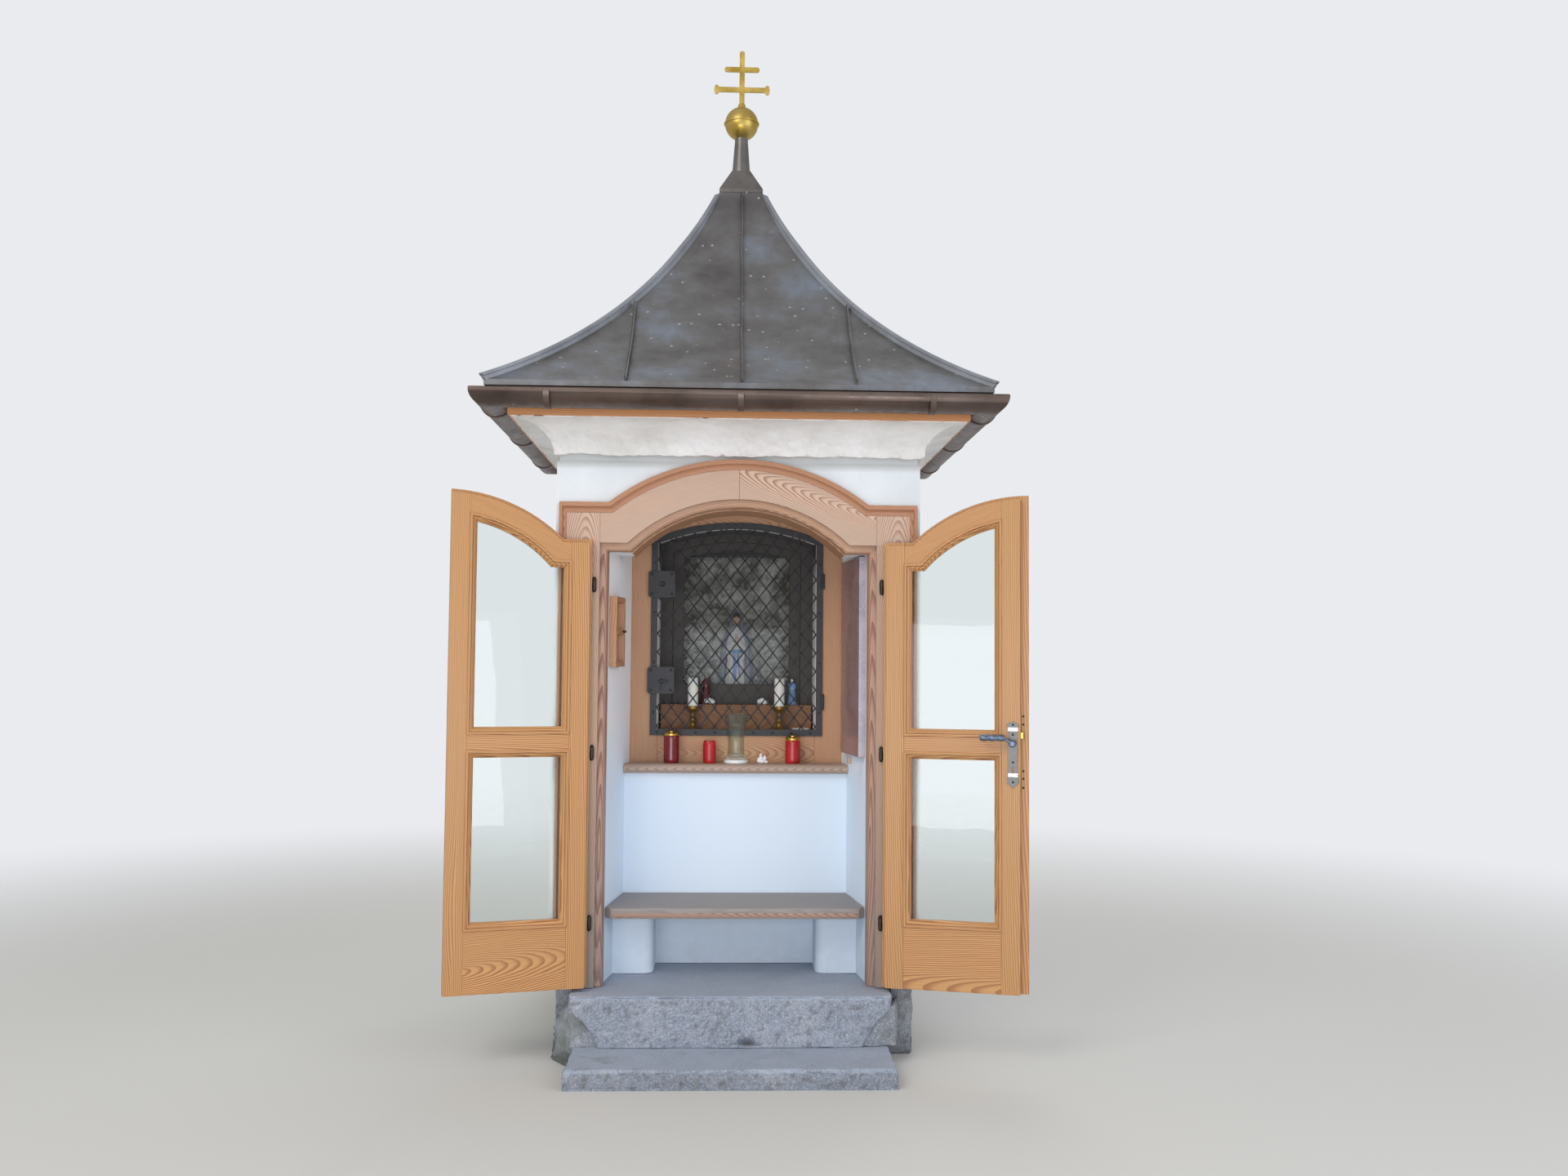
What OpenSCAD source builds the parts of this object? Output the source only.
// Small roadside chapel: a plastered masonry cube on a stone plinth, with a bell roof of sheet metal,
// a larch door frame with two glazed leaves, and a niche with a kneeler, a shelf and a grilled shrine.
// X runs to the right, Y runs away from the viewer, Z runs up, and the ground is at Z = 0.

/* [Body] */
// Width and depth of the plastered body
body_w = 1340; // [1200:10:1500]
// Height of the floor above the ground
floor_z = 250; // [200:5:300]
// Height of the walls above the floor, up to the cove
wall_h = 1938; // [1900:1:2000]
// Thickness of the back wall
wall_t = 190; // [150:5:220]
// Set-back of the plinth from the plaster
plinth_inset = 12; // [4:1:30]
// Height of the shadow groove under the cove
groove_h = 34; // [20:1:50]
// Depth of the shadow groove under the cove
groove_d = 8; // [4:1:15]

/* [Steps] */
// Set-back of the upper step's ends from the sides of the plaster
slab_side = 105; // [80:5:130]
// Distance that the upper step stands in front of the wall
slab_out = 156; // [120:2:200]
// Radius of the front corners of the upper step
slab_corner_r = 30; // [10:1:60]
// Depth of the upper step's full width under its top, at the ends
slab_lip = 40; // [20:1:60]
// Width of the broken bottom corners of the upper step
slab_break = 110; // [60:1:130]
// Set-back of the lower step's ends from those of the upper step
step_side = 12; // [0:2:60]
// Tread of the lower step
step_tread = 262; // [200:2:320]
// Height of the lower step
step_h = 70; // [50:1:100]
// Radius of the rounded front edges of both steps
step_edge_r = 8; // [3:1:12]

/* [Cove and eaves] */
// Outward reach of the cove foot beyond the wall
cove_lip = 6; // [2:1:12]
// Outward reach of the cove head beyond the wall
cove_out = 150; // [130:1:170]
// Height of the cove
cove_h = 110; // [95:1:130]
// Radius of the hollow of the cove
cove_r = 140; // [130:1:180]
// Upright edge at the head of the cove
cove_edge = 4; // [2:1:8]
// Thickness of the fascia boards
fascia_t = 22; // [18:1:30]
// Height of the fascia boards
fascia_h = 100; // [80:1:105]
// Width of the timber plate that carries the roof
plate_w = 100; // [80:1:140]

/* [Roof] */
// Reach of the roof edge beyond the fascia
roof_over = 73; // [60:1:85]
// Height of the roof edge above the fascia foot
roof_rise = 112; // [110:1:125]
// Depth of the drip edge
drip_h = 20; // [14:1:26]
// Height of the roof from its edge to the cap
roof_h = 974; // [900:2:1050]
// Half width of the roof under the cap
roof_top_half = 83; // [70:1:95]
// Radius of the hollow curve of the roof
roof_curve_r = 1900; // [1700:10:2300]
// Thickness of the boarding with its sheet metal
roof_t = 28; // [20:1:35]
// Spacing of the standing seams
seam_pitch = 410; // [380:5:430]
// Thickness of a standing seam
seam_t = 9; // [6:1:12]
// Height of a standing seam
seam_h = 22; // [15:1:30]
// Width of a hip seam
hip_w = 20; // [14:1:28]

/* [Gutter] */
// Outer radius of the half-round gutter
gutter_r = 58; // [50:1:62]
// Thickness of the gutter sheet
gutter_t = 3; // [2:0.5:5]
// Height of the gutter rim above the fascia foot
gutter_rim_z = 72; // [66:1:78]
// Radius of the rolled front bead
gutter_bead_r = 7; // [5:0.5:9]
// Width of a gutter bracket
bracket_w = 22; // [16:1:30]
// Thickness of a gutter bracket
bracket_t = 4; // [3:0.5:6]
// Distance of the outer brackets from the middle of a side
bracket_pitch = 680; // [500:5:720]

/* [Cap, ball and cross] */
// Half width of the cap at its foot
cap_half = 90; // [86:1:100]
// Height of the flared cap
cap_h = 94; // [80:1:110]
// Depth of the cap's foot rim
cap_rim_h = 14; // [8:1:20]
// Radius of the spire at its foot
spire_r1 = 38; // [32:1:44]
// Radius of the spire under the ball
spire_r2 = 26; // [20:1:30]
// Height of the spire
spire_h = 143; // [120:1:160]
// Radius of the gilt ball
ball_r = 70; // [60:1:80]
// Reach of the rim round the ball
ball_rim = 4; // [2:1:8]
// Height of the cross above the ball
cross_h = 245; // [220:1:270]
// Width of the cross's shaft and bars
cross_w = 22; // [16:1:28]
// Thickness of the cross
cross_t = 8; // [6:1:12]
// Half length of the lower bar
cross_lower = 118; // [100:1:135]
// Half length of the upper bar
cross_upper = 74; // [60:1:85]
// Height of the lower bar above the ball
cross_lower_z = 78; // [65:1:90]
// Height of the upper bar above the ball
cross_upper_z = 165; // [150:1:180]

/* [Doorway] */
// Width of the plaster left on each side of the door frame
frame_margin = 15; // [6:1:30]
// Distance of the frame's arms below the top of the walls
arm_drop = 186; // [176:1:200]
// Width of the frame boards' face
frame_face = 148; // [130:1:165]
// Thickness of the frame boards in front of the wall
frame_t = 30; // [24:1:36]
// Thickness of the frame's lining
lining_t = 28; // [22:1:34]
// Width of the stop that the leaves close against
stop_w = 28; // [20:1:34]
// Depth of the stop
stop_d = 64; // [50:1:70]
// Width of the doorway's shoulders beside its arch
shoulder_w = 84; // [70:1:100]
// Rise of the arch above the shoulders
arch_rise = 165; // [150:1:180]
// Width of the frame's arms beside the outer arch
arm_w = 180; // [165:1:195]
// Rise of the outer arch above the arms
outer_arch_rise = 163; // [150:1:170]
// Width of the outer moulding at the sides
mould_side = 26; // [20:1:30]
// Width of the outer moulding along the top
mould_top = 38; // [30:1:42]
// Height of each of the moulding's two steps
mould_step = 8; // [5:1:10]

/* [Leaves] */
// Clearance round each leaf
leaf_gap = 5; // [5:0.5:8]
// Height of the leaves above the floor
leaf_lift = 12; // [8:1:20]
// Thickness of a leaf
leaf_t = 45; // [40:1:50]
// Distance of the left leaf's free edge from the middle of the doorway
meet_left = 12; // [10:1:14]
// Distance of the right leaf's free edge from the middle of the doorway
meet_right = 22; // [20:1:26]
// Reach of the right leaf's lap across the joint between the leaves
lap_meet = 29; // [27:1:29]
// Reach of the laps over the posts and the head
leaf_lap = 13; // [10:1:15]
// Thickness of the laps
lap_t = 18; // [16:1:20]
// Clearance of the laps in front of the posts
lap_gap = 6; // [5:0.5:7]
// Width of the stiles
stile_w = 66; // [58:1:80]
// Height of the bottom rail
bottom_rail_h = 220; // [180:1:260]
// Height of the middle rail's underside above the floor
mid_rail_z = 855; // [820:1:880]
// Height of the middle rail
mid_rail_h = 58; // [50:1:80]
// Thickness of the glass
glass_t = 6; // [4:1:8]
// Width of the glazing beads
bead_w = 25; // [20:1:30]
// Height of the glazing beads above the leaf
bead_proud = 6; // [3:1:8]
// Angle of the leaves in their open rest position
open_angle = 165; // [150:1:170]

/* [Hinges] */
// Clearance between a knuckle and the edge of the lap
knuckle_gap = 1; // [0.5:0.5:2]
// Outer radius of a hinge knuckle
knuckle_r = 8; // [7:0.5:8]
// Length of a hinge knuckle
knuckle_l = 28; // [24:1:40]
// Radius of a hinge pin
hinge_pin_r = 4.5; // [3.5:0.5:5]
// Length of a hinge pin in its knuckle
hinge_pin_l = 20; // [14:1:22]
// Radial clearance of a hinge pin
pin_fit = 0.06; // [0.04:0.01:0.1]
// Width of a hinge's neck
hinge_neck_w = 7; // [5:0.5:8]
// Height of the lowest hinge above the floor
hinge_low = 234; // [200:1:260]
// Distance of the top hinge below the doorway's shoulders
hinge_drop = 126; // [100:1:150]

/* [Lock] */
// Distance of the handle's axis from the right leaf's free edge
lock_inset = 25; // [23:1:32]
// Height of the handle's axis above the floor
lever_z = 893; // [860:1:930]
// Length of the lever from its axis
lever_l = 120; // [100:1:130]
// Distance of the lever's grip from the leaf
lever_stand = 40; // [34:1:48]
// Height of the grip above the handle's axis
lever_lift = 20; // [10:1:24]
// Radius of the lever's grip
lever_r = 12; // [9:0.5:14]
// Length of the lever's grip
grip_l = 88; // [70:1:95]
// Radius of the lever's neck
neck_r = 10; // [8:0.5:12]
// Clearance round the lever's neck in the leaf
neck_slack = 4; // [3:0.5:6]
// Length of the lock plate
lock_plate_l = 237; // [210:1:260]
// Reach of the lock plate above the handle's axis
lock_plate_above = 78; // [70:1:90]
// Width of the lock plate
lock_plate_w = 42; // [36:1:46]
// Thickness of the lock plate
lock_plate_t = 4; // [3:0.5:6]
// Distance of the keyhole below the handle's axis
keyhole_drop = 87; // [78:1:98]
// Radius of the keyhole
keyhole_r = 4.5; // [3.5:0.5:5]

/* [Niche] */
// Depth of the niche at the kneeler
altar_t = 400; // [380:1:430]
// Depth of the grille's plane
shrine_t = 500; // [480:1:520]
// Narrowing of each side of the niche from the doorway to the grille
niche_splay = 55; // [45:1:60]
// Height of the ceiling above the crown of the doorway
ceiling_lift = 59; // [40:1:80]
// Height of the kneeler's seat above the floor
bench_h = 272; // [250:1:300]
// Thickness of the kneeler's board
bench_t = 40; // [30:1:45]
// Radius of the kneeler's front edge
bench_nose_r = 12; // [6:1:16]
// Width of the kneeler's clipped front corners
bench_clip = 24; // [12:1:34]
// Distance of the kneeler's front edge behind the wall plane
bench_front = 48; // [40:1:80]
// Distance of the piers' front behind the wall plane
pier_front = 215; // [180:1:250]
// Width of the piers
pier_w = 130; // [110:1:150]
// Radius of the piers' inner front corners
pier_r = 40; // [25:1:50]
// Height of the shelf above the floor
shelf_h = 773; // [750:1:800]
// Thickness of the shelf
shelf_t = 36; // [28:1:44]
// Distance that the shelf stands out from the wall under it
shelf_out = 34; // [20:1:50]
// Thickness of the larch boards round the grille
niche_board_t = 20; // [16:1:26]
// Clearance between the niche's boards and its walls
board_slack = 0.5; // [0.3:0.1:0.9]

/* [Grille and shrine] */
// Distance of the grille from the sides of the niche
grille_margin = 79; // [70:1:95]
// Height of the grille's foot above the shelf
grille_lift = 105; // [90:1:120]
// Distance of the grille's crown below the ceiling
grille_drop = 65; // [50:1:80]
// Rise of the grille's arch
grille_rise = 70; // [60:1:85]
// Width of the grille's frame bar
grille_bar = 26; // [20:1:32]
// Thickness of the grille's frame bar
grille_bar_t = 8; // [6:1:12]
// Width of a mesh of the lattice
mesh_w = 58; // [50:1:75]
// Height of a mesh of the lattice
mesh_h = 74; // [64:1:90]
// Thickness of a lattice wire
wire_t = 3.4; // [3:0.2:5]
// Depth of the shrine from the larch boards to its inner window
shrine_wall_t = 200; // [180:1:220]
// Distance of the shrine's opening inside the grille's outline
shrine_reveal = 27; // [18:1:34]
// Height of the shrine's floor above the grille's foot
shrine_lift = 12; // [6:1:18]
// Side of the grille's lock plates
grille_plate = 108; // [90:1:120]
// Thickness of the grille's lock plates
grille_plate_t = 4; // [3:0.5:6]
// Reach of the lock plates beyond the grille's frame
grille_plate_out = 12; // [6:1:18]
// Height of the lower lock plate's middle above the grille's foot
grille_plate_low = 220; // [190:1:250]
// Distance of the upper lock plate's middle below the grille's shoulders
grille_plate_high = 182; // [160:1:210]
// Radius of the grille's hinge knuckles
grille_knuckle_r = 7; // [5:0.5:9]
// Length of the grille's hinge knuckles
grille_knuckle_l = 63; // [50:1:75]
// Height of the lower hinge above the grille's foot
grille_hinge_low = 137; // [110:1:160]
// Distance of the upper hinge below the grille's shoulders
grille_hinge_high = 165; // [140:1:190]

/* [Inner window] */
// Thickness of the outer frame of the inner window
window_t = 40; // [30:1:50]
// Width of the window's outer frame at the sides
window_side = 52; // [40:1:60]
// Width of the window's outer frame at the head
window_head = 34; // [25:1:45]
// Width of the sash at the sides
sash_side = 46; // [35:1:55]
// Width of the sash at the head
sash_head = 36; // [25:1:45]
// Height of the glass's foot above the shrine's floor
sash_foot = 191; // [170:1:210]
// Recess of the sash behind the outer frame
sash_back = 10; // [6:1:14]
// Reach of the outer frame behind the wall round the opening
window_lap = 12; // [6:1:20]

/* [Shrine figures] */
// Height of the wooden step in front of the window
shrine_step_h = 108; // [90:1:120]
// Depth of that step
shrine_step_d = 70; // [50:1:90]
// Clearance between the step and the shrine's walls
shrine_step_gap = 8; // [4:1:15]
// Depth of the candles behind the wall plane
candle_t = 592; // [575:1:600]
// Depth of the statue behind the wall plane
statue_t = 850; // [840:1:900]
// Height of the statue's block
statue_block_h = 76; // [60:1:100]
// Width of the statue's block
statue_block_w = 180; // [150:2:200]
// Depth of the statue's block
statue_block_d = 150; // [140:2:170]
// Height of the middle statue
statue_h = 426; // [400:1:440]
// Distance of the candles from the middle
candle_x = 176; // [160:1:200]
// Height of the candlesticks
candlestick_h = 104; // [90:1:130]
// Height of the candles
candle_h = 114; // [90:1:130]
// Radius of the candles
candle_r = 21; // [16:1:24]

/* [Wall pieces] */
// Distance of the display case's top below the doorway's shoulders
case_drop = 162; // [120:1:200]
// Height of the display case
case_h = 262; // [240:1:280]
// Length of the display case along the wall
case_l = 165; // [140:1:190]
// Depth of the display case
case_d = 28; // [22:1:36]
// Thickness of the display case's frame
case_frame = 20; // [14:1:26]
// Distance of the tablet's top below the doorway's shoulders
tablet_drop = 6; // [3:1:40]
// Height of the tablet
tablet_h = 748; // [700:1:750]
// Length of the tablet along the wall
tablet_l = 325; // [290:1:328]
// Thickness of the tablet
tablet_t = 26; // [22:1:34]
// Depth of the front ends of the case and the tablet behind the wall plane
piece_front = 70; // [64:1:90]

/* [Votive pieces] */
// Places of the grave lights from the middle, along the shelf
light_x = [-255, -105, 225]; // [-300:1:300]
// Radii of the grave lights
light_r = [31, 26, 30]; // [20:1:34]
// Heights of the grave lights' glass
light_h = [112, 88, 96]; // [70:1:130]
// Heights of the grave lights' lids
lid_h = [16, 4, 16]; // [2:1:24]
// Radius of the vase's rim
vase_r = 48; // [40:1:54]
// Height of the vase
vase_h = 196; // [170:1:210]
// Thickness of the vase's glass
vase_wall = 4; // [3:0.5:6]
// Depth of the row of lights behind the wall plane
shelf_row_t = 436; // [432:1:440]

/* [Hidden] */
$fn = 96;
front = -body_w / 2;
wall_half = body_w / 2;
wall_top = floor_z + wall_h;
slab_half = wall_half - slab_side;
step_half = slab_half - step_side;
frame_half = wall_half - frame_margin;
door_half = frame_half - frame_face - stop_w;
arch_half = door_half - shoulder_w;
outer_arch_half = frame_half - arm_w;
arm_h = wall_h - arm_drop;
shoulder_h = arm_h - frame_face - stop_w;
ceiling_h = shoulder_h + arch_rise + ceiling_lift;
hinge_high = shoulder_h - hinge_drop;
hinge_mid = (hinge_low + hinge_high) / 2;
leaf_edge = door_half + stop_w - leaf_gap;
leaf_y = -frame_t - lap_gap - lap_t;
leaf_back = leaf_y + leaf_t;
lock_x = meet_right + lock_inset;
hinge_x = leaf_edge + leaf_lap + knuckle_gap + knuckle_r;
hinge_y = front + leaf_y + lap_t / 2;
stop_y = leaf_back + leaf_gap;
lining_y = stop_y + stop_d;
arch_r = (arch_half * arch_half + arch_rise * arch_rise) / (2 * arch_rise);
outer_r = (outer_arch_half * outer_arch_half + outer_arch_rise * outer_arch_rise) / (2 * outer_arch_rise);
niche_end = niche_half(shrine_t + niche_board_t);
grille_half = door_half - niche_splay - grille_margin;
grille_z = shelf_h + grille_lift;
grille_shoulder = ceiling_h - grille_drop - grille_rise;
grille_r = (grille_half * grille_half + grille_rise * grille_rise) / (2 * grille_rise);
shrine_half = grille_half - shrine_reveal;
shrine_floor = grille_z + shrine_lift;
shrine_back = body_w - wall_t;
fascia_half = wall_half + cove_out + fascia_t / 2;
fascia_z = wall_top + cove_h;
roof_half = fascia_half + roof_over;
roof_edge_z = fascia_z + roof_rise;
roof_top_z = roof_edge_z + roof_h;
gutter_half = fascia_half + bracket_t + gutter_r;
gutter_z = fascia_z + gutter_rim_z;
spire_z = roof_top_z + cap_h;
ball_z = spire_z + spire_h + ball_r;
reach = 3 * body_w;
eps = 1;

// Half width of the niche at a depth behind the wall plane
function niche_half(t) = door_half - niche_splay * max(0, t - lining_y) / (shrine_t - lining_y);

// Centre of the circle of a hollow curve from a low outer point to a high inner point
function curve_centre(low, high, r) =
    let (mid = (low + high) / 2, half = norm(high - low) / 2, across = [high[1] - low[1], low[0] - high[0]])
    mid + across / norm(across) * sqrt(r * r - half * half);

// A box between two corners
module span(low, high) {
    translate(low) cube(high - low);
}

// A flat outline drawn in X and Z, extruded from one depth behind the wall plane to another
module upright(t0, t1) {
    translate([0, front + t1, 0]) rotate([90, 0, 0]) linear_extrude(t1 - t0) children();
}

// The shape that a profile has when it runs along all four sides of the square body
module four_sided(length = 2 * reach) {
    intersection() {
        rotate([90, 0, 0]) linear_extrude(length, center = true) children();
        rotate([90, 0, 90]) linear_extrude(length, center = true) children();
    }
}

// A quarter of the plan, in front of both diagonals
module front_quarter(z0, z1) {
    translate([0, 0, z0]) linear_extrude(z1 - z0) polygon([[0, 0], [-reach, -reach], [reach, -reach]]);
}

// Plan of the niche: the rebate for the lining, then the splayed sides
module niche_plan(t0, t1, slack = 0) {
    translate([0, front]) polygon([
        [-niche_half(t0) + slack, t0], [niche_half(t0) - slack, t0],
        [niche_half(t1) - slack, t1], [-niche_half(t1) + slack, t1]]);
}

// Outline of the shouldered doorway, grown by an amount
module door_outline(grow = 0) {
    translate([-door_half - grow, floor_z]) square([2 * (door_half + grow), shoulder_h + grow]);
    intersection() {
        translate([0, floor_z + shoulder_h + arch_rise - arch_r]) circle(arch_r + grow, $fn = 256);
        translate([-arch_half - max(0, grow), floor_z + shoulder_h + min(0, grow) - 2 * eps])
            square([2 * (arch_half + max(0, grow)), arch_rise + abs(grow) + 4 * eps]);
    }
}

// Outline of the whole door frame, cut back at the sides and the top
module frame_outline(side = 0, top = 0) {
    translate([-frame_half + side, floor_z]) square([2 * (frame_half - side), arm_h - top]);
    intersection() {
        translate([0, floor_z + arm_h + outer_arch_rise - outer_r]) circle(outer_r - top, $fn = 256);
        translate([-outer_arch_half + top / 2, floor_z + arm_h - top - 2 * eps])
            square([2 * outer_arch_half - top, outer_arch_rise + 4 * eps]);
    }
}

// Outline of the grille, cut back at its sides, head and foot
module grille_outline(side = 0, head = 0, foot = 0) {
    intersection() {
        translate([0, floor_z + grille_shoulder + grille_rise - grille_r]) circle(grille_r - head, $fn = 256);
        translate([-grille_half + side, floor_z + grille_z + foot])
            square([2 * (grille_half - side), grille_shoulder + grille_rise - grille_z]);
    }
}

// Stonework and steps
module plinth() {
    half = wall_half - plinth_inset;
    color("#8b877c") difference() {
        span([-half, -half, 0], [half, half, floor_z]);
        span([-slab_half, -half - eps, step_h], [slab_half, front + altar_t, floor_z + eps]);
    }
}

module lower_step() {
    y0 = front - slab_out - step_tread;
    color("#9a958f") difference() {
        span([-step_half, y0, 0], [step_half, front + plinth_inset, step_h]);
        step_edge(y0, step_h);
    }
}

module threshold_slab() {
    x = slab_half;
    y0 = front - slab_out;
    r = slab_corner_r;
    broken = floor_z - step_h - slab_lip;
    color("#9a958f") difference() {
        union() {
            translate([0, 0, step_h]) linear_extrude(floor_z - step_h) union() {
                translate([-x, y0 + r]) square([2 * x, slab_out + plinth_inset - r]);
                translate([-x + r, y0]) square([2 * (x - r), r + eps]);
                for (s = [-1, 1]) translate([s * (x - r), y0 + r]) circle(r);
            }
            span([-x, front + plinth_inset, step_h], [x, front + altar_t, floor_z]);
        }
        step_edge(y0, floor_z);
        upright(-slab_out - eps, -eps) for (s = [0, 1]) mirror([s, 0]) translate([x, step_h - eps]) polygon([
            [eps, 0], [-slab_break, 0], [-slab_break * 0.85, broken * 0.25],
            [-slab_break * 0.55, broken * 0.6], [-slab_break * 0.15, broken * 0.9], [eps, broken]]);
    }
}

// What is cut off the front top edge of a step to round it
module step_edge(y, z) {
    translate([0, y, z]) rotate([90, 0, 90]) linear_extrude(2 * reach, center = true) difference() {
        translate([-eps, -step_edge_r]) square([step_edge_r + eps, step_edge_r + eps]);
        translate([step_edge_r, -step_edge_r]) circle(step_edge_r);
    }
}

// Walls
module side_wall(side) {
    color("#e9e6df") difference() {
        translate([0, 0, floor_z]) linear_extrude(wall_h) mirror([side < 0 ? 1 : 0, 0]) polygon([
            [door_half + stop_w + lining_t, front], [wall_half, front], [wall_half, wall_half],
            [niche_end, wall_half], [niche_end, front + shrine_t + niche_board_t],
            [niche_half(shrine_t), front + shrine_t],
            [door_half, front + lining_y], [door_half + stop_w + lining_t, front + lining_y]]);
        wall_groove();
    }
}

// The shadow groove that runs round the top of the walls
module wall_groove() {
    half = wall_half - groove_d;
    difference() {
        span([-reach, -reach, wall_top - groove_h], [reach, reach, wall_top + eps]);
        span([-half, -half, wall_top - groove_h - eps], [half, half, wall_top + 2 * eps]);
    }
}

module left_wall() {
    side_wall(-1);
}

module right_wall() {
    side_wall(1);
}

module back_wall() {
    color("#e9e6df") difference() {
        span([-niche_end, front + shrine_back, floor_z], [niche_end, wall_half, wall_top]);
        wall_groove();
    }
}

module altar_wall() {
    color("#eceae6") union() {
        translate([0, 0, floor_z]) linear_extrude(shelf_h - shelf_t) union() {
            niche_plan(altar_t, shrine_t);
            niche_plan(shrine_t, shrine_t + niche_board_t);
            span_2d(niche_end, shrine_t + niche_board_t, shrine_back);
        }
        translate([0, 0, floor_z + shelf_h - shelf_t]) linear_extrude(shrine_floor - shelf_h + shelf_t)
            span_2d(niche_end, shrine_t + niche_board_t, shrine_back);
    }
}

// A rectangle in plan, from one depth behind the wall plane to another
module span_2d(half, t0, t1) {
    translate([-half, front + t0]) square([2 * half, t1 - t0]);
}

module shrine_wall() {
    t0 = shrine_t + niche_board_t;
    color("#eceae6") difference() {
        span([-niche_end, front + t0, floor_z + shrine_floor],
            [niche_end, front + t0 + shrine_wall_t, floor_z + ceiling_h]);
        upright(t0 - eps, t0 + shrine_wall_t + eps) intersection() {
            translate([-shrine_half, floor_z]) square([2 * shrine_half, 2 * ceiling_h]);
            grille_outline(0, grille_half - shrine_half, 0);
        }
    }
}

module lintel_and_ceiling() {
    t0 = lining_y;
    deep = lining_y + wall_t;
    color("#e9e6df") difference() {
        union() {
            translate([0, 0, floor_z + ceiling_h]) linear_extrude(wall_h - ceiling_h) union() {
                niche_plan(deep, shrine_t);
                niche_plan(shrine_t, shrine_t + niche_board_t);
                span_2d(niche_end, shrine_t + niche_board_t, shrine_back);
            }
            translate([0, 0, floor_z + shoulder_h]) linear_extrude(wall_h - shoulder_h) union() {
                niche_plan(t0, deep);
                span_2d(door_half + stop_w + lining_t, 0, t0);
            }
        }
        upright(-eps, deep + eps) door_outline();
        upright(-eps, t0) door_outline(stop_w + lining_t);
        wall_groove();
    }
}

// Cove, eaves and roof
module cove_cornice() {
    low = [wall_half + cove_lip, wall_top];
    high = [wall_half + cove_out, fascia_z - cove_edge];
    hollow = curve_centre(low, high, cove_r);
    inner = niche_end;
    color("#efece4") difference() {
        four_sided() for (s = [0, 1]) mirror([s, 0]) difference() {
            polygon([[0, low[1]], low, high, [high[0], fascia_z], [0, fascia_z]]);
            translate(hollow) circle(cove_r, $fn = 128);
        }
        span([-inner, -inner, wall_top - eps], [inner, inner, fascia_z + eps]);
    }
}

// Region under the roof's curve; grow moves the curve outwards and inwards
module roof_profile(grow = 0, foot = 0) {
    low = [roof_half, roof_edge_z];
    high = [roof_top_half, roof_top_z];
    centre = curve_centre(low, high, roof_curve_r);
    for (s = [0, 1]) mirror([s, 0]) difference() {
        polygon([[0, roof_edge_z - drip_h - foot], [roof_half, roof_edge_z - drip_h - foot],
            low + [0, 2 * seam_h], high + [2 * seam_h, 2 * seam_h], [0, roof_top_z + 2 * seam_h]]);
        translate(centre) circle(roof_curve_r - grow, $fn = 360);
        translate([0, roof_top_z + max(0, grow)]) square([roof_half, roof_h]);
    }
}

module roof_plate() {
    outer = fascia_half - fascia_t;
    inner = outer - plate_w;
    color("#b98a58") intersection() {
        difference() {
            span([-outer, -outer, fascia_z], [outer, outer, roof_top_z]);
            span([-inner, -inner, fascia_z - eps], [inner, inner, roof_top_z + eps]);
        }
        four_sided() roof_profile(-roof_t, roof_rise);
    }
}

module fascia_boards() {
    inner = fascia_half - fascia_t;
    color("#b0703c") difference() {
        span([-fascia_half, -fascia_half, fascia_z], [fascia_half, fascia_half, fascia_z + fascia_h]);
        span([-inner, -inner, fascia_z - eps], [inner, inner, fascia_z + fascia_h + eps]);
    }
}

module roof_skin() {
    inner = roof_half - roof_t;
    color("#6f645d") difference() {
        four_sided() roof_profile();
        intersection() {
            four_sided() roof_profile(-roof_t, eps);
            span([-inner, -inner, fascia_z], [inner, inner, roof_top_z - roof_t]);
        }
    }
}

module roof_seams() {
    color("#62574f") difference() {
        union() {
            for (side = [0:3]) rotate(90 * side) for (i = [-1:1]) intersection() {
                translate([i * seam_pitch, 0, 0]) rotate([90, 0, 90])
                    linear_extrude(seam_t, center = true) roof_profile(seam_h);
                front_quarter(roof_edge_z, roof_top_z - cap_rim_h);
            }
            intersection() {
                four_sided() roof_profile(seam_h);
                for (a = [45, 135]) rotate(a)
                    span([-reach, -hip_w / 2, roof_edge_z], [reach, hip_w / 2, roof_top_z - cap_rim_h]);
            }
        }
        four_sided() roof_profile();
    }
}

module roof_cap() {
    color("#62574f") difference() {
        union() {
            four_sided() for (s = [0, 1]) mirror([s, 0]) polygon([
                [0, roof_top_z - cap_rim_h], [cap_half, roof_top_z - cap_rim_h], [cap_half, roof_top_z],
                [spire_r1, spire_z], [0, spire_z]]);
            translate([0, 0, spire_z - eps])
                cylinder(h = spire_h + eps + ball_r / 4, r1 = spire_r1, r2 = spire_r2);
        }
        four_sided() roof_profile();
        translate([0, 0, ball_z]) sphere(ball_r);
    }
}

module gilt_ball() {
    color("#c79a3a") union() {
        translate([0, 0, ball_z]) sphere(ball_r);
        translate([0, 0, ball_z]) rotate_extrude() translate([ball_r - eps, -ball_rim])
            square([ball_rim + eps, 2 * ball_rim]);
    }
}

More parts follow.
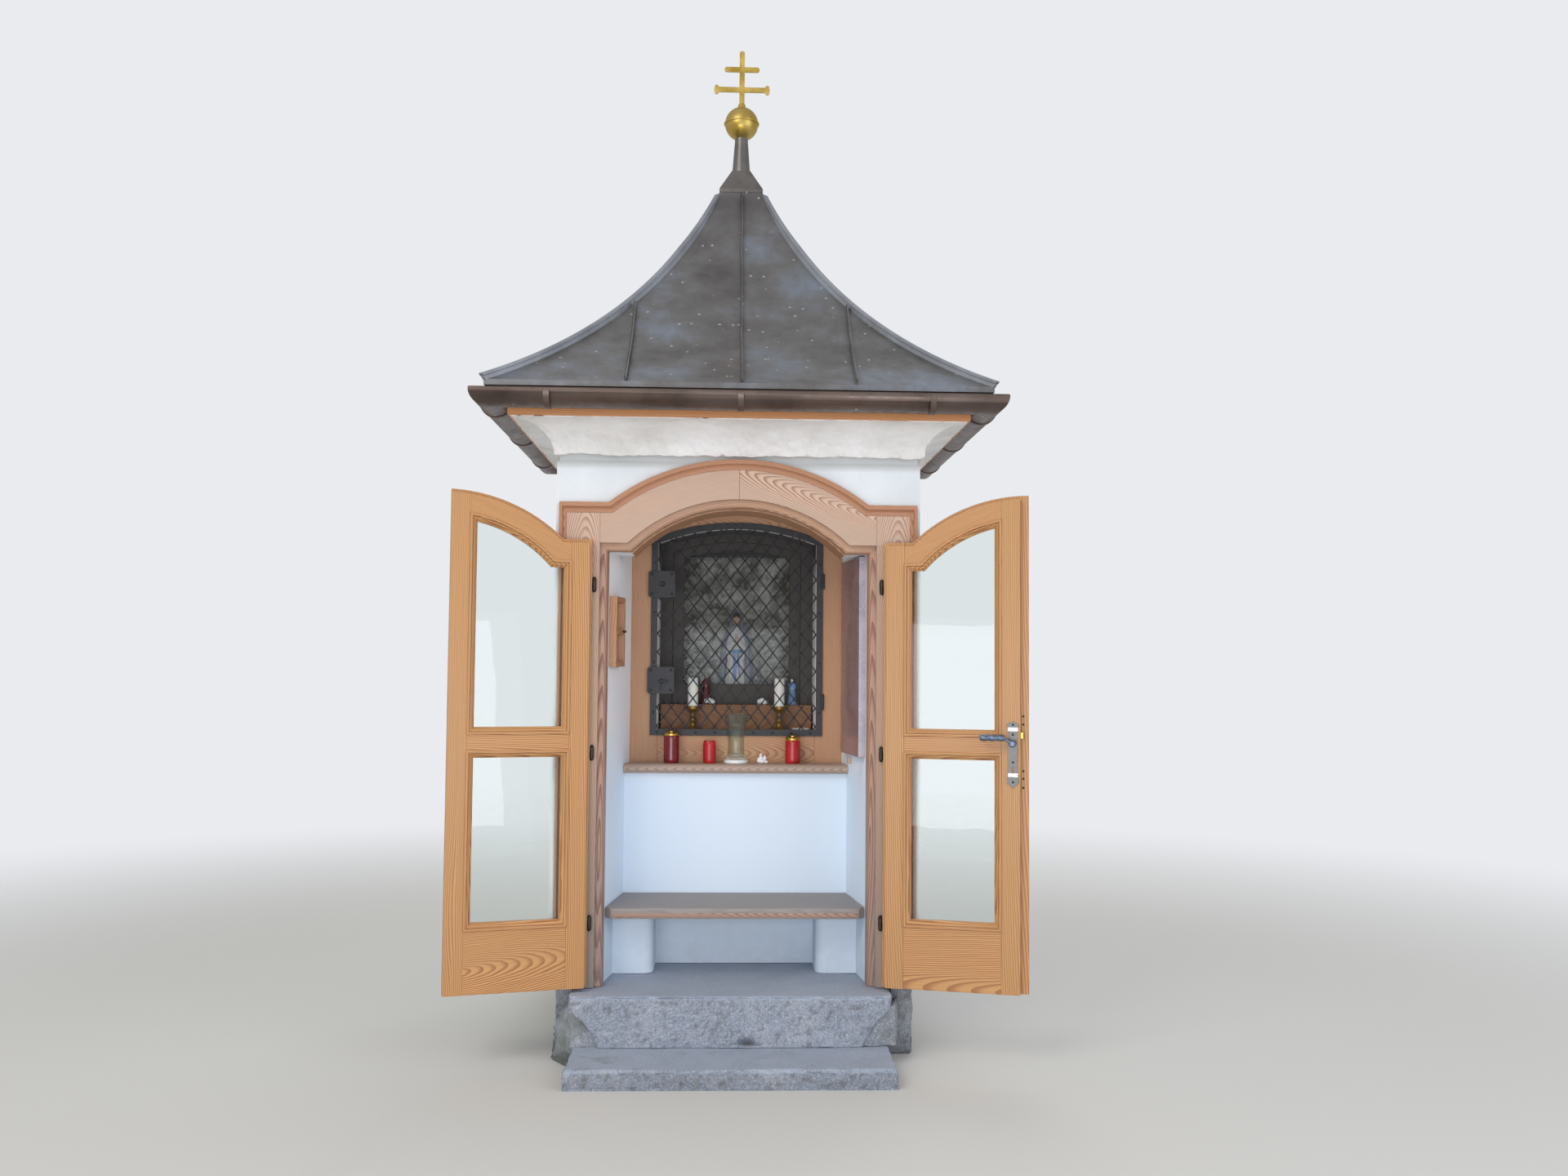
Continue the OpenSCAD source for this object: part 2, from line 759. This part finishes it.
module cross() {
    w = cross_w / 2;
    foot = ball_z + ball_r;
    color("#c79a3a") difference() {
        union() {
            translate([0, cross_t / 2, foot]) rotate([90, 0, 0]) linear_extrude(cross_t) union() {
                translate([-w, -w / 2]) square([2 * w, cross_h - w / 2]);
                translate([0, cross_h - w]) circle(w, $fn = 48);
                cross_bar(cross_upper, cross_upper_z, []);
                cross_bar(cross_lower, cross_lower_z, [-1, 1]);
            }
            translate([0, 0, foot - w / 2]) cylinder(h = cross_w, r1 = cross_w * 0.9, r2 = cross_w * 0.6);
        }
        translate([0, 0, ball_z]) sphere(ball_r);
    }
}

// A bar of the cross with round ends; each side named in lobes gets a further lobe at both ends
module cross_bar(half, z, lobes) {
    w = cross_w / 2;
    translate([-half + w, z - w]) square([2 * (half - w), 2 * w]);
    for (x = [w - half, half - w]) {
        translate([x, z]) circle(w, $fn = 48);
        for (side = lobes) translate([x, z + side * w]) circle(w * 0.8, $fn = 48);
    }
}

module gutter() {
    color("#4b3d34") union() {
        for (side = [0:3]) rotate(90 * side) intersection() {
            translate([0, -gutter_half, gutter_z]) rotate([90, 0, 90])
                linear_extrude(2 * reach, center = true) gutter_section();
            front_quarter(gutter_z - gutter_r - eps, gutter_z + 2 * gutter_bead_r + eps);
        }
    }
}

module gutter_section() {
    union() {
        difference() {
            circle(gutter_r, $fn = 64);
            circle(gutter_r - gutter_t, $fn = 64);
            translate([-gutter_r - eps, 0]) square([2 * gutter_r + 2 * eps, gutter_r + eps]);
        }
        translate([-gutter_r + gutter_bead_r, 0]) circle(gutter_bead_r, $fn = 32);
    }
}

module gutter_brackets() {
    color("#3f332c") for (side = [0:3]) rotate(90 * side) for (i = [-1:1])
        translate([i * bracket_pitch, -gutter_half, gutter_z]) rotate([90, 0, 90])
            linear_extrude(bracket_w, center = true) union() {
                difference() {
                    circle(gutter_r + bracket_t, $fn = 64);
                    circle(gutter_r, $fn = 64);
                    translate([-reach, 0]) square([2 * reach, reach]);
                }
                translate([gutter_r, -eps]) square([bracket_t, fascia_h - gutter_rim_z - bracket_t / 2]);
            }
}

// Door frame
module door_posts() {
    inner = door_half + stop_w;
    color("#c99a6b") for (s = [0, 1]) mirror([s, 0, 0]) union() {
        span([inner, front - frame_t, floor_z], [frame_half, front, floor_z + arm_h]);
        span([inner, front - eps, floor_z], [inner + lining_t, front + lining_y, floor_z + shoulder_h]);
    }
}

// The head lies between the posts; only its lining reaches over theirs
module arched_head() {
    inner = door_half + stop_w;
    above = floor_z + shoulder_h;
    color("#c99a6b") intersection() {
        union() {
            intersection() {
                union() {
                    upright(-frame_t, 0) difference() {
                        frame_outline();
                        door_outline(stop_w);
                    }
                    head_lining(-eps);
                }
                span([-inner, -reach, above], [inner, reach, above + reach]);
            }
            head_lining(0);
        }
        span([-reach, -reach, above], [reach, reach, above + reach]);
    }
}

module head_lining(t0) {
    upright(t0, lining_y) difference() {
        door_outline(stop_w + lining_t);
        door_outline(stop_w);
    }
}

module outer_moulding() {
    color("#c08e5e") union() {
        for (i = [0, 1])
            upright(-frame_t - (i + 1) * mould_step, -frame_t - i * mould_step + i * eps) difference() {
                frame_outline(i * mould_side / 3, i * mould_top / 3);
                frame_outline(mould_side, mould_top);
            }
    }
}

module door_stop() {
    color("#b5764a") upright(stop_y, lining_y) difference() {
        door_outline(stop_w);
        door_outline();
    }
}

// Kneeler and shelf
module kneeler_piers() {
    inner = niche_half(altar_t) - pier_w;
    color("#e6e4df") for (s = [0, 1]) mirror([s, 0, 0]) translate([0, 0, floor_z])
        linear_extrude(bench_h - bench_t) difference() {
            niche_plan(pier_front, altar_t);
            translate([-reach, front + pier_front - eps]) square([reach + inner, reach]);
            translate([inner, front + pier_front]) difference() {
                translate([-eps, -eps]) square([pier_r + eps, pier_r + eps]);
                translate([pier_r, pier_r]) circle(pier_r);
            }
        }
}

module kneeler_board() {
    r = bench_nose_r;
    top = floor_z + bench_h;
    color("#8d7a64") difference() {
        translate([0, 0, top - bench_t]) linear_extrude(bench_t) difference() {
            niche_plan(bench_front, altar_t, board_slack);
            for (s = [-1, 1]) translate([s * (niche_half(bench_front) - board_slack), front + bench_front])
                rotate(45) square(sqrt(2) * bench_clip, center = true);
        }
        translate([0, front + bench_front, top]) rotate([90, 0, 90]) linear_extrude(2 * reach, center = true)
            difference() {
                square(2 * r, center = true);
                translate([r, -r]) circle(r);
            }
    }
}

module altar_shelf() {
    t0 = altar_t - shelf_out;
    r = shelf_t / 2;
    z = floor_z + shelf_h - shelf_t;
    color("#c79b63") intersection() {
        translate([0, 0, z]) linear_extrude(shelf_t) niche_plan(t0, shrine_t, board_slack);
        union() {
            span([-reach, front + t0 + r, z], [reach, front + shrine_t, z + shelf_t]);
            translate([0, front + t0 + r, z + r]) rotate([0, 90, 0])
                cylinder(h = 2 * reach, r = r, center = true);
        }
    }
}

module niche_boards() {
    color("#bb8350") difference() {
        translate([0, 0, floor_z + shelf_h - shelf_t]) linear_extrude(ceiling_h - shelf_h + shelf_t)
            niche_plan(shrine_t, shrine_t + niche_board_t, board_slack);
        upright(shrine_t - eps, shrine_t + niche_board_t + eps)
            grille_outline(grille_bar / 2, grille_bar / 2, grille_bar / 2);
    }
}

// Grille
module grille_frame() {
    low = floor_z + grille_z;
    high = floor_z + grille_shoulder;
    face = shrine_t - grille_bar_t;
    color("#2b3038") union() {
        upright(face, shrine_t) difference() {
            grille_outline();
            grille_outline(grille_bar, grille_bar, grille_bar);
        }
        for (z = [low + grille_plate_low, high - grille_plate_high]) upright(face - grille_plate_t, face)
            translate([-grille_half - grille_plate_out, z - grille_plate / 2])
                rounded_plate(grille_plate, grille_plate_out);
        for (z = [low + grille_hinge_low, high - grille_hinge_high]) translate([grille_half, front + face, z])
            cylinder(h = grille_knuckle_l, r = grille_knuckle_r, center = true);
    }
}

// A square plate with round corners, from the origin
module rounded_plate(side, r) {
    translate([r, 0]) square([side - 2 * r, side]);
    translate([0, r]) square([side, side - 2 * r]);
    for (x = [r, side - r], z = [r, side - r]) translate([x, z]) circle(r, $fn = 48);
}

module grille_lattice() {
    lap = grille_bar / 2 + board_slack;
    count = ceil((grille_half * mesh_h / mesh_w + grille_shoulder + grille_rise - grille_z) / mesh_h);
    color("#2b3038") upright(shrine_t, shrine_t + wire_t) union() {
        intersection() {
            union() {
                for (s = [-1, 1], i = [-count:count]) translate([0, floor_z + grille_z + i * mesh_h])
                    rotate(s * atan2(mesh_h, mesh_w)) square([6 * grille_half, wire_t], center = true);
            }
            grille_outline(lap, lap, lap);
        }
        difference() {
            grille_outline(lap, lap, lap);
            grille_outline(lap + wire_t, lap + wire_t, lap + wire_t);
        }
    }
}

// Inner window of the shrine: an outer frame and a sash set back in it
module shrine_window() {
    t0 = shrine_t + niche_board_t + shrine_wall_t;
    lap = shrine_reveal - window_lap;
    side = shrine_reveal + window_side;
    head = shrine_reveal + window_head;
    color("#3d3a38") union() {
        upright(t0, t0 + window_t) difference() {
            window_outline(lap, lap, 0);
            window_outline(side, head, window_head);
        }
        upright(t0 + sash_back, t0 + window_t) difference() {
            window_outline(side - eps, head - eps, window_head - eps);
            window_outline(side + sash_side, head + sash_head, sash_foot);
        }
    }
}

// Outline of the inner window, cut back at its sides, head and foot
module window_outline(side, head, foot) {
    grille_outline(side, head, foot + shrine_lift);
}

module shrine_glass() {
    t0 = shrine_t + niche_board_t + shrine_wall_t + (sash_back + window_t - glass_t) / 2;
    side = shrine_reveal + window_side + sash_side + board_slack;
    head = shrine_reveal + window_head + sash_head + board_slack;
    color("#a9c0cb") upright(t0, t0 + glass_t) window_outline(side, head, sash_foot + board_slack);
}

module shrine_step() {
    half = shrine_half - shrine_step_gap;
    color("#a5713e") translate([0, front + shrine_t + niche_board_t + shrine_wall_t, floor_z + shrine_floor])
        span([-half, -shrine_step_d - board_slack, 0], [half, -board_slack, shrine_step_h]);
}

module statue_block() {
    w = statue_block_w / 2;
    d = statue_block_d / 2;
    color("#a5713e") translate([0, front + statue_t, floor_z + shrine_floor])
        span([-w, -d, 0], [w, d, statue_block_h]);
}

module statue() {
    h = statue_h;
    head = h * 0.085;
    color("#e8e6e6") translate([0, front + statue_t, floor_z + shrine_floor + statue_block_h]) union() {
        rotate_extrude() polygon([[0, 0], [h * 0.15, 0], [h * 0.15, h * 0.05], [h * 0.125, h * 0.07],
            [h * 0.12, h * 0.3], [h * 0.1, h * 0.55], [h * 0.115, h * 0.7], [h * 0.09, h * 0.8],
            [h * 0.04, h - 1.8 * head], [0, h - 1.8 * head]]);
        translate([0, 0, h - head]) sphere(head);
    }
}

module candlesticks() {
    z0 = floor_z + shrine_floor;
    h = candlestick_h;
    r = candle_r;
    color("#8a6a3e") for (s = [-1, 1]) translate([s * candle_x, front + candle_t, z0]) rotate_extrude()
        polygon([[0, 0], [r * 1.5, 0], [r * 1.5, h * 0.06], [r * 0.8, h * 0.14], [r * 0.5, h * 0.3],
            [r * 0.75, h * 0.42], [r * 0.75, h * 0.5], [r * 0.45, h * 0.6], [r * 0.55, h * 0.76],
            [r * 1.3, h * 0.88], [r * 1.3, h], [0, h]]);
}

module candles() {
    z0 = floor_z + shrine_floor + candlestick_h;
    color("#f2eee2") for (s = [-1, 1]) translate([s * candle_x, front + candle_t, z0])
        cylinder(h = candle_h, r = candle_r);
}

// Wall pieces
module display_case() {
    f = case_frame;
    pane_h = (case_h - 3 * f) / 2;
    color("#b5763c") translate([0, 0, floor_z + shoulder_h - case_drop - case_h]) difference() {
        linear_extrude(case_h) side_strip(piece_front, piece_front + case_l, case_d);
        for (i = [0, 1]) translate([case_d / 3, 0, f + i * (pane_h + f)]) linear_extrude(pane_h)
            side_strip(piece_front + f, piece_front + case_l - f, case_d);
    }
}

// A strip in plan along the left side of the niche
module side_strip(t0, t1, depth) {
    translate([0, front]) polygon([
        [-niche_half(t0) + board_slack, t0], [-niche_half(t1) + board_slack, t1],
        [-niche_half(t1) + depth, t1], [-niche_half(t0) + depth, t0]]);
}

module wall_tablet() {
    color("#8a4a3c") translate([0, 0, floor_z + shoulder_h - tablet_drop - tablet_h]) linear_extrude(tablet_h)
        mirror([1, 0]) side_strip(piece_front, piece_front + tablet_l, tablet_t);
}

module grave_lights() {
    z0 = floor_z + shelf_h;
    color("#a3201c") for (i = [0:2]) let (r = light_r[i], h = light_h[i])
        translate([light_x[i], front + shelf_row_t, z0]) rotate_extrude() polygon([
            [0, 0], [r * 0.85, 0], [r, r * 0.3], [r, h - r * 0.3], [r * 0.85, h],
            [r * 0.85, h + lid_h[i] * 0.5], [r * 0.5, h + lid_h[i]], [0, h + lid_h[i]]]);
}

module vase() {
    z0 = floor_z + shelf_h;
    r = vase_r;
    h = vase_h;
    w = vase_wall;
    color("#c4d2cf") translate([0, front + shelf_row_t, z0]) rotate_extrude() polygon([
        [0, 0], [r * 0.8, 0], [r * 0.8, w], [r * 0.25, w * 3], [r * 0.22, h * 0.3], [r * 0.6, h * 0.7],
        [r, h], [r - w, h], [r * 0.6 - w, h * 0.7], [0, h * 0.36]]);
}

// Leaves, drawn closed on the right-hand side; side is -1 for the left leaf
function meet(side) = side > 0 ? meet_right : meet_left;

module leaf_outline(side) {
    intersection() {
        door_outline(stop_w - leaf_gap);
        translate([meet(side), floor_z + leaf_lift]) square([reach, reach]);
    }
}

module lap_outline(side) {
    intersection() {
        door_outline(stop_w - leaf_gap + leaf_lap);
        translate([meet(side) - (side > 0 ? lap_meet : 0), floor_z + leaf_lift]) square([reach, reach]);
    }
}

module upper_light(side, inset = 0) {
    intersection() {
        door_outline(stop_w - leaf_gap - stile_w - inset);
        translate([meet(side) + stile_w + inset, floor_z + mid_rail_z + mid_rail_h + inset])
            square([reach, reach]);
    }
}

module lower_light(side, inset = 0) {
    x0 = meet(side) + stile_w;
    x1 = leaf_edge - stile_w;
    z0 = leaf_lift + bottom_rail_h;
    translate([x0 + inset, floor_z + z0 + inset]) square([x1 - x0 - 2 * inset, mid_rail_z - z0 - 2 * inset]);
}

// Puts a closed right-hand leaf piece in its open place; side -1 mirrors it to the left
module swing(side) {
    mirror([side < 0 ? 1 : 0, 0, 0]) translate([hinge_x, hinge_y, 0]) rotate(open_angle)
        translate([-hinge_x, -hinge_y, 0]) children();
}

// A leaf before its lights are cut: the board, and the thinner lap in front that covers the joint round it
module leaf_board(side) {
    union() {
        upright(leaf_y, leaf_back) leaf_outline(side);
        upright(leaf_y, leaf_y + lap_t) lap_outline(side);
    }
}

module leaf_stiles(side) {
    x1 = meet(side) + stile_w;
    x2 = leaf_edge - stile_w;
    color("#c8863c") swing(side) difference() {
        leaf_board(side);
        upright(-reach, reach) translate([x1, 0]) square([x2 - x1, reach]);
        for (z = [hinge_low, hinge_mid, hinge_high])
            translate([hinge_x, hinge_y, floor_z + z - knuckle_l - leaf_gap])
                cylinder(h = knuckle_l + 2 * leaf_gap, r = knuckle_r + leaf_gap);
        if (side > 0) translate([lock_x, front - reach, floor_z + lever_z]) rotate([-90, 0, 0])
            cylinder(h = 2 * reach, r = neck_r + neck_slack);
    }
}

module leaf_rails(side) {
    x1 = meet(side) + stile_w;
    x2 = leaf_edge - stile_w;
    color("#c8863c") swing(side) difference() {
        intersection() {
            leaf_board(side);
            upright(-reach, reach) translate([x1, 0]) square([x2 - x1, reach]);
        }
        upright(-reach, reach) upper_light(side);
        upright(-reach, reach) lower_light(side);
    }
}

module leaf_beads(side) {
    middle = (leaf_y + leaf_back) / 2;
    color("#b5742f") swing(side) for (t = [[leaf_y - bead_proud, middle - glass_t / 2],
            [middle + glass_t / 2, leaf_back + bead_proud]])
        upright(t[0], t[1]) union() {
            difference() {
                upper_light(side);
                upper_light(side, bead_w);
            }
            difference() {
                lower_light(side);
                lower_light(side, bead_w);
            }
        }
}

module leaf_panes(side) {
    t0 = (leaf_y + leaf_back - glass_t) / 2;
    color("#a9c0cb") swing(side) upright(t0, t0 + glass_t) union() {
        upper_light(side, board_slack);
        lower_light(side, board_slack);
    }
}

// One half of a hinge: a knuckle with a turned end, and a neck of some reach towards +X
module hinge_half(neck) {
    translate([knuckle_r / 2, -hinge_neck_w / 2, knuckle_l * 0.2])
        cube([neck - knuckle_r / 2, hinge_neck_w, knuckle_l * 0.5]);
    rotate_extrude() polygon([[0, 0], [knuckle_r, 0], [knuckle_r, knuckle_l * 0.72],
        [knuckle_r * 0.8, knuckle_l * 0.78], [knuckle_r * 0.72, knuckle_l * 0.9],
        [knuckle_r * 0.4, knuckle_l], [0, knuckle_l]]);
}

module hinge_pins() {
    color("#2a2a2c") for (s = [0, 1], z = [hinge_low, hinge_mid, hinge_high]) mirror([s, 0, 0])
        translate([hinge_x, hinge_y, floor_z + z]) union() {
            translate([0, 0, -board_slack]) mirror([0, 0, 1]) rotate(90) hinge_half(front - frame_t - hinge_y);
            translate([0, 0, -eps]) cylinder(h = hinge_pin_l + eps, r = hinge_pin_r);
        }
}

module leaf_knuckles(side) {
    color("#2a2a2c") swing(side) for (z = [hinge_low, hinge_mid, hinge_high])
        translate([hinge_x, hinge_y, floor_z + z]) difference() {
            rotate(180) hinge_half(knuckle_r + knuckle_gap);
            translate([0, 0, -eps]) cylinder(h = hinge_pin_l + 2 * eps, r = hinge_pin_r + pin_fit);
        }
}

module left_leaf_stiles() {
    leaf_stiles(-1);
}

module left_leaf_rails() {
    leaf_rails(-1);
}

module left_leaf_beads() {
    leaf_beads(-1);
}

module left_leaf_panes() {
    leaf_panes(-1);
}

module left_leaf_knuckles() {
    leaf_knuckles(-1);
}

module right_leaf_stiles() {
    leaf_stiles(1);
}

module right_leaf_rails() {
    leaf_rails(1);
}

module right_leaf_beads() {
    leaf_beads(1);
}

module right_leaf_panes() {
    leaf_panes(1);
}

module right_leaf_knuckles() {
    leaf_knuckles(1);
}

// Outline of a lock plate about the handle's axis: a narrow middle, two bands and pointed ends
module lock_plate_outline() {
    w = lock_plate_w / 2;
    for (end = [[0, lock_plate_above], [1, lock_plate_l - lock_plate_above]]) let (h = end[1])
        mirror([0, end[0]]) for (s = [0, 1]) mirror([s, 0]) polygon([
            [0, -eps], [w * 0.78, -eps], [w * 0.78, h * 0.7], [w * 0.92, h * 0.72], [w * 0.92, h * 0.8],
            [w, h * 0.88], [w * 0.3, h * 0.95], [0, h]]);
}

// Lock
module lock_plates() {
    faces = [[leaf_y - lock_plate_t, leaf_y], [leaf_back, leaf_back + lock_plate_t]];
    color("#55504c") swing(1) for (t = faces) upright(t[0], t[1]) difference() {
        translate([lock_x, floor_z + lever_z]) lock_plate_outline();
        translate([lock_x, floor_z + lever_z]) circle(neck_r + pin_fit);
        translate([lock_x, floor_z + lever_z - keyhole_drop]) circle(keyhole_r, $fn = 32);
        translate([lock_x - keyhole_r / 2, floor_z + lever_z - keyhole_drop - 4 * keyhole_r])
            square([keyhole_r, 4 * keyhole_r]);
    }
}

// The grip of the lever, a row of three turned swellings along +X
module grip() {
    r = lever_r;
    l = grip_l / 3;
    swell = [[0.8, 0.08], [0.95, 0.25], [1, 0.5], [0.95, 0.75], [0.8, 0.92]];
    rotate([0, 90, 0]) rotate_extrude() polygon([
        [0, 0], [r * 0.7, 0], for (i = [0:2], p = swell) [r * p[0], (i + p[1]) * l],
        [r * 0.7, grip_l], [0, grip_l]]);
}

module lever() {
    half = leaf_t / 2 + lever_stand;
    rise = atan2(lever_lift, lever_l - grip_l);
    arm = norm([lever_lift, lever_l - grip_l]);
    r = neck_r;
    middle = [lock_x, front + (leaf_y + leaf_back) / 2, floor_z + lever_z];
    color("#4a4644") swing(1) translate(middle) union() {
        rotate([-90, 0, 0]) rotate_extrude() polygon([
            [0, -half - r], [r * 0.7, -half - r], [r * 1.2, -half - r / 2], [r * 1.2, -half + r / 2],
            [r, -half + r * 0.8], [r, half - r * 0.8], [r * 1.2, half - r / 2], [r * 1.2, half + r / 2],
            [r * 0.7, half + r], [0, half + r]]);
        for (y = [-half, half]) translate([0, y, 0]) {
            rotate([0, 90 - rise, 0]) cylinder(h = arm, r = r * 0.55);
            translate([lever_l - grip_l - r * 0.6, 0, lever_lift]) grip();
        }
    }
}

plinth();
lower_step();
threshold_slab();
left_wall();
right_wall();
back_wall();
altar_wall();
shrine_wall();
lintel_and_ceiling();
cove_cornice();
roof_plate();
fascia_boards();
roof_skin();
roof_seams();
roof_cap();
gilt_ball();
cross();
gutter();
gutter_brackets();
door_posts();
arched_head();
outer_moulding();
door_stop();
kneeler_piers();
kneeler_board();
altar_shelf();
niche_boards();
grille_frame();
grille_lattice();
shrine_window();
shrine_glass();
shrine_step();
statue_block();
statue();
candlesticks();
candles();
display_case();
wall_tablet();
grave_lights();
vase();
hinge_pins();
left_leaf_stiles();
left_leaf_rails();
left_leaf_beads();
left_leaf_panes();
left_leaf_knuckles();
right_leaf_stiles();
right_leaf_rails();
right_leaf_beads();
right_leaf_panes();
right_leaf_knuckles();
lock_plates();
lever();
